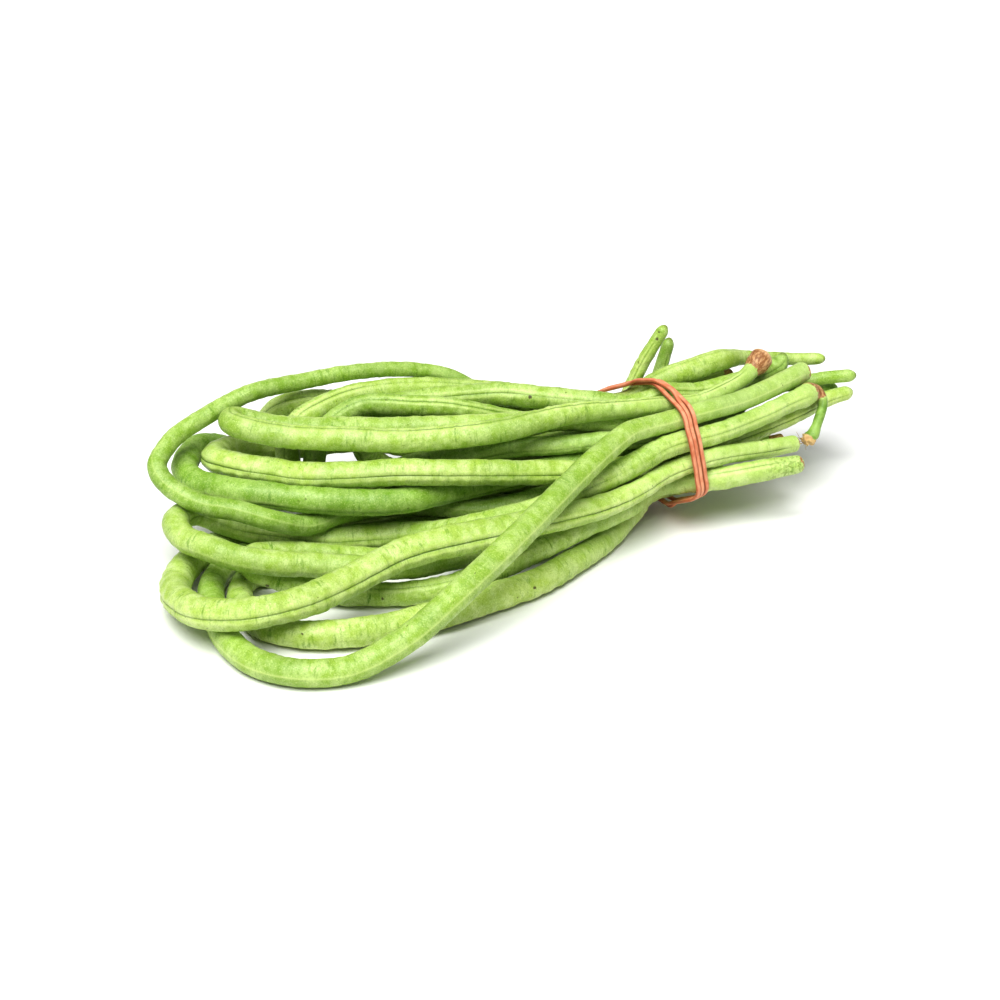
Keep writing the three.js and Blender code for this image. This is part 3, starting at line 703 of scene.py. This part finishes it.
def strand_line(sections):
    """Stations along the closed strand, with its middle, flat way and outward way at each."""
    middles = np.array([section.mean(axis=0) for section in sections])
    knots = running_length(np.vstack([middles, middles[:1]]))
    along = np.linspace(0, knots[-1], int(knots[-1] / BAND_STEP) + 1)
    centres = closed_smooth(middles, knots, along)
    centres[-1] = centres[0]
    tangents = unit(np.roll(centres[:-1], -1, axis=0) - np.roll(centres[:-1], 1, axis=0))
    tangents = np.vstack([tangents, tangents[:1]])
    widest = closed_smooth(flat_ways(sections, middles), knots, along)
    widest[-1] = widest[0]
    across = unit(widest - tangents * (widest * tangents).sum(axis=1)[:, None])
    return along, centres, across, np.cross(across, tangents)


def boxed(wave, half_size):
    """A circle's sine or cosine drawn out toward a box with rounded corners."""
    return half_size * np.sign(wave) * np.abs(wave) ** BAND_ROUNDNESS


def band_piece():
    """The rubber band: one flat strand wound three times, with its edges rounded."""
    along, centres, across, outward = strand_line(strand_sections("rubber_band"))
    angles = np.linspace(0, TURN, BAND_LANES)
    mesh, station, lane = tube_blank("rubber_band_strand", len(along), len(angles))
    from_join, angle = along[station], angles[lane]
    rng = np.random.default_rng(BAND_SEED)
    swell = 1 + 0.04 * value_noise(rng, from_join % along[-1], angle, 5 * MM, 3)
    wide = boxed(np.cos(angle), BAND_HALF_WIDTH) * swell
    thick = boxed(np.sin(angle), BAND_HALF_THICKNESS) * swell
    places = centres[station] + across[station] * wide[:, None] + outward[station] * thick[:, None]
    marks = {
        "straight": np.column_stack([from_join, wide, thick]),
        "edge": np.abs(np.cos(angle)) ** 3,
    }
    roll_up(mesh, places, marks)
    show("rubber_band_strand", mesh, band_rubber(), "rubber_band")


# Shader nodes.


def add(tree, kind, inputs=None, **settings):
    """A shader node with its settings made and its inputs set or linked."""
    made = tree.nodes.new(kind)
    for key, value in settings.items():
        setattr(made, key, value)
    for socket, value in (inputs or {}).items():
        if isinstance(value, bpy.types.NodeSocket):
            tree.links.new(value, made.inputs[socket])
        else:
            made.inputs[socket].default_value = value
    return made


def mixed(tree, share, first, second):
    """The first colour with a share of the second over it."""
    return add(tree, "ShaderNodeMix", {0: share, 6: first, 7: second}, data_type="RGBA").outputs[2]


def ranged(tree, value, low, high, to_low=0.0, to_high=1.0):
    """A value moved softly from one range to another and held at its ends."""
    inputs = {"Value": value, "From Min": low, "From Max": high, "To Min": to_low, "To Max": to_high}
    return add(tree, "ShaderNodeMapRange", inputs, interpolation_type="SMOOTHSTEP").outputs[0]


def times(tree, first, second):
    """One value multiplied by another."""
    return add(tree, "ShaderNodeMath", {0: first, 1: second}, operation="MULTIPLY").outputs[0]


def plus(tree, first, second):
    """The sum of two values."""
    return add(tree, "ShaderNodeMath", {0: first, 1: second}, operation="ADD").outputs[0]


def noise(tree, where, scale, detail, roughness, stretch=(1, 1, 1), shift=(0, 0, 0)):
    """Noise with that many features in a metre."""
    inputs = {"Vector": where, "Scale": stretch, "Location": shift}
    vector = add(tree, "ShaderNodeMapping", inputs).outputs[0]
    inputs = {"Vector": vector, "Scale": scale, "Detail": detail, "Roughness": roughness}
    return add(tree, "ShaderNodeTexNoise", inputs).outputs["Fac"]


def mark(tree, name, output="Fac"):
    """A mark that the piece's own mesh carries."""
    return add(tree, "ShaderNodeAttribute", attribute_name=name).outputs[output]


def bumped(tree, shader, height, strength, distance):
    """Give the shader a bump."""
    bump = add(tree, "ShaderNodeBump", {"Height": height, "Strength": strength, "Distance": distance})
    tree.links.new(bump.outputs[0], shader.inputs["Normal"])


def coloured(tree, shader, colour, roughness):
    """Give the shader its colour and roughness."""
    tree.links.new(colour, shader.inputs["Base Color"])
    tree.links.new(roughness, shader.inputs["Roughness"])


def new_finish(name):
    """A new material, with its node tree and its shader."""
    finish = bpy.data.materials.new(name)
    finish.use_nodes = True
    tree = finish.node_tree
    return finish, tree, tree.nodes["Principled BSDF"]


def linear(channel):
    """One channel of a colour on the eight-bit scale, as the shader reads it."""
    share = channel / 255
    return ((share + 0.055) / 1.055) ** 2.4 if channel > 10 else share / 12.92


def srgb(red, green, blue):
    """A colour on the eight-bit scale, as the shader reads it."""
    return linear(red), linear(green), linear(blue), 1.0


def between(first, second, share):
    """A colour part of the way from the first to the second."""
    return tuple(a + (b - a) * share for a, b in zip(first, second))


# Finishes.

# Greens of a pod's skin at tone 0 and at tone 1.
PALE_GREENS = srgb(162, 194, 100), srgb(202, 220, 142)
BODY_GREENS = srgb(126, 168, 48), srgb(172, 198, 88)
DEEP_GREENS = srgb(74, 122, 8), srgb(106, 148, 24)
# The darker and the paler colour that each of these is mottled with.
STALK_GREENS = srgb(92, 134, 36), srgb(144, 180, 84)
DRY_BROWNS = srgb(146, 98, 56), srgb(206, 164, 116)
FIBRE_STRAWS = srgb(116, 88, 52), srgb(178, 150, 100)
BAND_SALMONS = srgb(210, 128, 90), srgb(230, 168, 130)
FLOOR_GREYS = (0.84, 0.84, 0.84, 1), (0.86, 0.86, 0.86, 1)
# Colours laid over those, each by a share.
# Partly painted highlight: pale grain specks, the skin's own speckle standing in also for light caught
# on its tiny bumps.
GRAIN_AND_GLINT_GREEN = srgb(222, 236, 156)
BLEACHED_GREEN = srgb(206, 228, 150)
LIP_GREEN = srgb(216, 230, 150)
SEAM_GREEN = srgb(60, 92, 8)
FLECK_GREEN = srgb(84, 96, 24)
WORN_GREEN = srgb(104, 132, 30)
TIP_BROWN = srgb(96, 104, 30)
SPECK_BROWN = srgb(60, 46, 16)
BROKEN_TAN = srgb(222, 184, 142)
FRAYED_STRAW = srgb(216, 192, 134)
STREAK_SALMON = srgb(186, 98, 62)
# Painted shade: the darker salmon laid on the strand's rounded edges.
EDGE_SHADE_SALMON = srgb(156, 68, 36)

# Noises of a pod's skin: features in a metre, detail, roughness, and stretch along and across it.
POD_NOISES = {
    "broad": (60, 1.0, 0.5, (1, 0.5, 0.5)),
    "patch": (150, 2.0, 0.5, (1, 0.7, 0.7)),
    "mottle": (260, 4.0, 0.62, (1, 0.8, 0.8)),
    "fleck": (620, 1.0, 0.5, (1, 1, 1)),
    "streak": (1100, 3.0, 0.6, (1, 0.22, 0.22)),
    "fibre": (1300, 3.0, 0.65, (0.35, 1, 1)),
    "grain": (2600, 2.0, 0.6, (1, 0.8, 0.8)),
}
CHIP_NOISE = (900, 3.0, 0.6)


def green_skin(tree, look, noises):
    """Soft green mottling with cross streaks and grain, bleached toward the stem end; the grain
    carries painted highlight and shade of tiny bumps.
    """
    pale = between(*PALE_GREENS, look["tone"])
    body = between(*BODY_GREENS, look["tone"])
    deep = between(*DEEP_GREENS, look["tone"])
    colour = mixed(tree, ranged(tree, noises["mottle"], 0.34, 0.66), body, pale)
    colour = mixed(tree, ranged(tree, noises["broad"], 0.4, 0.7, 0, 0.3), colour, deep)
    streak, patch = ranged(tree, noises["streak"], 0.5, 0.72), ranged(tree, noises["patch"], 0.42, 0.6)
    streaky = times(tree, times(tree, streak, patch), 0.3 + 0.45 * look["wrinkle"])
    colour = mixed(tree, streaky, colour, deep)
    # The grain is partly the skin's own speckle and partly painted shade and highlight of its tiny
    # bumps.
    colour = mixed(tree, ranged(tree, noises["grain"], 0.5, 0.72, 0, 0.42), colour, deep)
    colour = mixed(tree, ranged(tree, noises["grain"], 0.45, 0.28, 0, 0.4), colour, GRAIN_AND_GLINT_GREEN)
    bleach = ranged(tree, mark(tree, "from_stem"), 20 * MM, 100 * MM, 0.3, 0)
    return mixed(tree, bleach, colour, BLEACHED_GREEN)


def marked_skin(tree, look, noises, chips, colour):
    """The skin's colour with its seam and lips, green ends, flecks and worn spots."""
    lip = times(tree, mark(tree, "lip"), 0.4 if look["crease"] > SMOOTH_CREASE else 0.65)
    colour = mixed(tree, lip, colour, LIP_GREEN)
    colour = mixed(tree, times(tree, mark(tree, "crease"), 0.8), colour, SEAM_GREEN)
    stalk = mixed(tree, ranged(tree, noises["mottle"], 0.35, 0.65), *STALK_GREENS)
    colour = mixed(tree, times(tree, mark(tree, "deep"), 0.85), colour, stalk)
    colour = mixed(tree, ranged(tree, noises["fleck"], 0.76, 0.8, 0, 0.6), colour, FLECK_GREEN)
    if look["end"] == "spotted":
        near = ranged(tree, mark(tree, "from_stem"), 4 * MM, 20 * MM, 1, 0)
        worn = times(tree, ranged(tree, chips, 0.5, 0.62), near)
        colour = mixed(tree, times(tree, worn, 0.6), colour, WORN_GREEN)
    return colour


def dry_skin(tree, look, fibre):
    """Fibrous brown and tan, paler on a broken collar's face and on a frayed stalk."""
    colour = mixed(tree, ranged(tree, fibre, 0.38, 0.66), *DRY_BROWNS)
    if look["end"] == "collar":
        face = ranged(tree, mark(tree, "from_stem"), 1.2 * MM, 3.4 * MM, 0.85, 0)
        colour = mixed(tree, face, colour, BROKEN_TAN)
    if look["end"] == "hook":
        frayed = ranged(tree, mark(tree, "from_stem"), 4 * MM, 6 * MM, 0.7, 0)
        frayed = times(tree, frayed, ranged(tree, fibre, 0.7, 0.4, 0.3, 1))
        colour = mixed(tree, frayed, colour, FRAYED_STRAW)
    return colour


def pod_skin(node, look, seed):
    """Waxy bean skin: softly mottled yellow green, finely streaked across, with dry brown ends."""
    finish, tree, shader = new_finish(node + "_skin")
    straight = mark(tree, "straight", "Vector")
    shift = (0.37 * seed, 0.11 * seed, 0.23 * seed)
    noises = {name: noise(tree, straight, *facts, shift) for name, facts in POD_NOISES.items()}
    chips = noise(tree, straight, *CHIP_NOISE)

    colour = green_skin(tree, look, noises)
    colour = marked_skin(tree, look, noises, chips, colour)
    torn_edge = plus(tree, mark(tree, "dry"), ranged(tree, chips, 0.3, 0.7, -0.35, 0.35))
    dry = ranged(tree, torn_edge, 0.42, 0.58)
    colour = mixed(tree, dry, colour, dry_skin(tree, look, noises["fibre"]))
    tip = ranged(tree, mark(tree, "from_tip"), 0.1 * MM, 1.2 * MM, 0.6, 0)
    colour = mixed(tree, tip, colour, TIP_BROWN)
    speck = ranged(tree, mark(tree, "speck"), 0.4, 0.8, 0, 0.85)
    colour = mixed(tree, speck, colour, SPECK_BROWN)
    coloured(tree, shader, colour, ranged(tree, noises["streak"], 0.3, 0.7, 0.36, 0.52))

    height = plus(tree, times(tree, noises["streak"], 0.5), times(tree, noises["grain"], 0.45))
    bumped(tree, shader, height, 0.75, 0.24 * MM)
    shader.inputs["Specular IOR Level"].default_value = 0.38
    shader.inputs["Subsurface Weight"].default_value = 0.1
    shader.inputs["Subsurface Radius"].default_value = (0.7, 1.0, 0.3)
    shader.inputs["Subsurface Scale"].default_value = 0.8 * MM
    return finish


def dry_fibre():
    """Dull straw, darker in places, finely ridged."""
    finish, tree, shader = new_finish("dry_fibre")
    where = add(tree, "ShaderNodeTexCoord").outputs["Object"]
    weathered = noise(tree, where, 900, 3.0, 0.6)
    colour = mixed(tree, ranged(tree, weathered, 0.35, 0.65), *FIBRE_STRAWS)
    coloured(tree, shader, colour, ranged(tree, weathered, 0.3, 0.7, 0.6, 0.8))
    bumped(tree, shader, weathered, 0.4, 0.05 * MM)
    return finish


def band_rubber():
    """Salmon rubber with a dusty face, and painted shade darkening its rounded edges."""
    finish, tree, shader = new_finish("band_rubber")
    straight = mark(tree, "straight", "Vector")
    streak = noise(tree, straight, 900, 3.0, 0.6, (0.15, 1, 1))
    blotch = noise(tree, straight, 260, 3.0, 0.6)
    colour = mixed(tree, ranged(tree, blotch, 0.35, 0.65), *BAND_SALMONS)
    colour = mixed(tree, ranged(tree, streak, 0.5, 0.75, 0, 0.4), colour, STREAK_SALMON)
    # Painted shade: the strand's rounded edges are darkened toward the edge colour.
    colour = mixed(tree, times(tree, mark(tree, "edge"), 0.7), colour, EDGE_SHADE_SALMON)
    coloured(tree, shader, colour, ranged(tree, blotch, 0.3, 0.7, 0.5, 0.66))
    bumped(tree, shader, plus(tree, streak, times(tree, blotch, 0.5)), 0.4, 0.12 * MM)
    return finish


# The studio.


def pale_floor():
    """A wide pale floor, just under the bunch."""
    slab = bmesh.new()
    bmesh.ops.create_grid(slab, x_segments=1, y_segments=1, size=FLOOR_HALF_SIZE)
    mesh = bpy.data.meshes.new("floor")
    slab.to_mesh(mesh)
    slab.free()
    floor = bpy.data.objects.new("floor", mesh)
    floor.location.z = FLOOR_HEIGHT
    bpy.context.scene.collection.objects.link(floor)
    finish, tree, shader = new_finish("pale_floor")
    where = add(tree, "ShaderNodeTexCoord").outputs["Object"]
    soft = noise(tree, where, 30, 2.0, 0.5)
    colour = mixed(tree, ranged(tree, soft, 0.3, 0.7), *FLOOR_GREYS)
    tree.links.new(colour, shader.inputs["Base Color"])
    shader.inputs["Roughness"].default_value = 0.8
    mesh.materials.append(finish)


def studio():
    """One broad soft light from above, a little in front and to the left, in a pale room."""
    world = bpy.data.worlds.new("room")
    world.use_nodes = True
    background = world.node_tree.nodes["Background"]
    background.inputs["Color"].default_value = (1, 1, 1, 1)
    background.inputs["Strength"].default_value = ROOM_LIGHT
    scene = bpy.context.scene
    scene.world = world
    scene.view_settings.view_transform = "Standard"
    scene.view_settings.gamma = GAMMA
    light = bpy.data.lights.new("overhead", "SUN")
    light.energy = SUN_STRENGTH
    light.angle = SUN_SPREAD
    overhead = bpy.data.objects.new("overhead", light)
    overhead.rotation_euler = SUN_FROM.to_track_quat("Z", "Y").to_euler()
    scene.collection.objects.link(overhead)


def camera():
    """The camera, in front of the bunch and above it, with the stem ends to its right."""
    lens = bpy.data.cameras.new("camera")
    lens.lens = CAMERA_LENS
    lens.sensor_width = CAMERA_SENSOR
    lens.clip_start = CAMERA_NEAREST
    holder = bpy.data.objects.new("camera", lens)
    holder.rotation_euler = Euler((math.pi / 2 - CAMERA_ABOVE, 0, CAMERA_TURN))
    forward = Vector((
        -math.sin(CAMERA_TURN) * math.cos(CAMERA_ABOVE),
        math.cos(CAMERA_TURN) * math.cos(CAMERA_ABOVE),
        -math.sin(CAMERA_ABOVE),
    ))
    holder.location = CAMERA_TARGET - forward * CAMERA_DISTANCE
    bpy.context.scene.collection.objects.link(holder)
    bpy.context.scene.camera = holder


for seed, (node, look) in enumerate(PODS.items(), FIRST_POD_SEED):
    pod_piece(node, look, seed)
band_piece()
pale_floor()
studio()
camera()
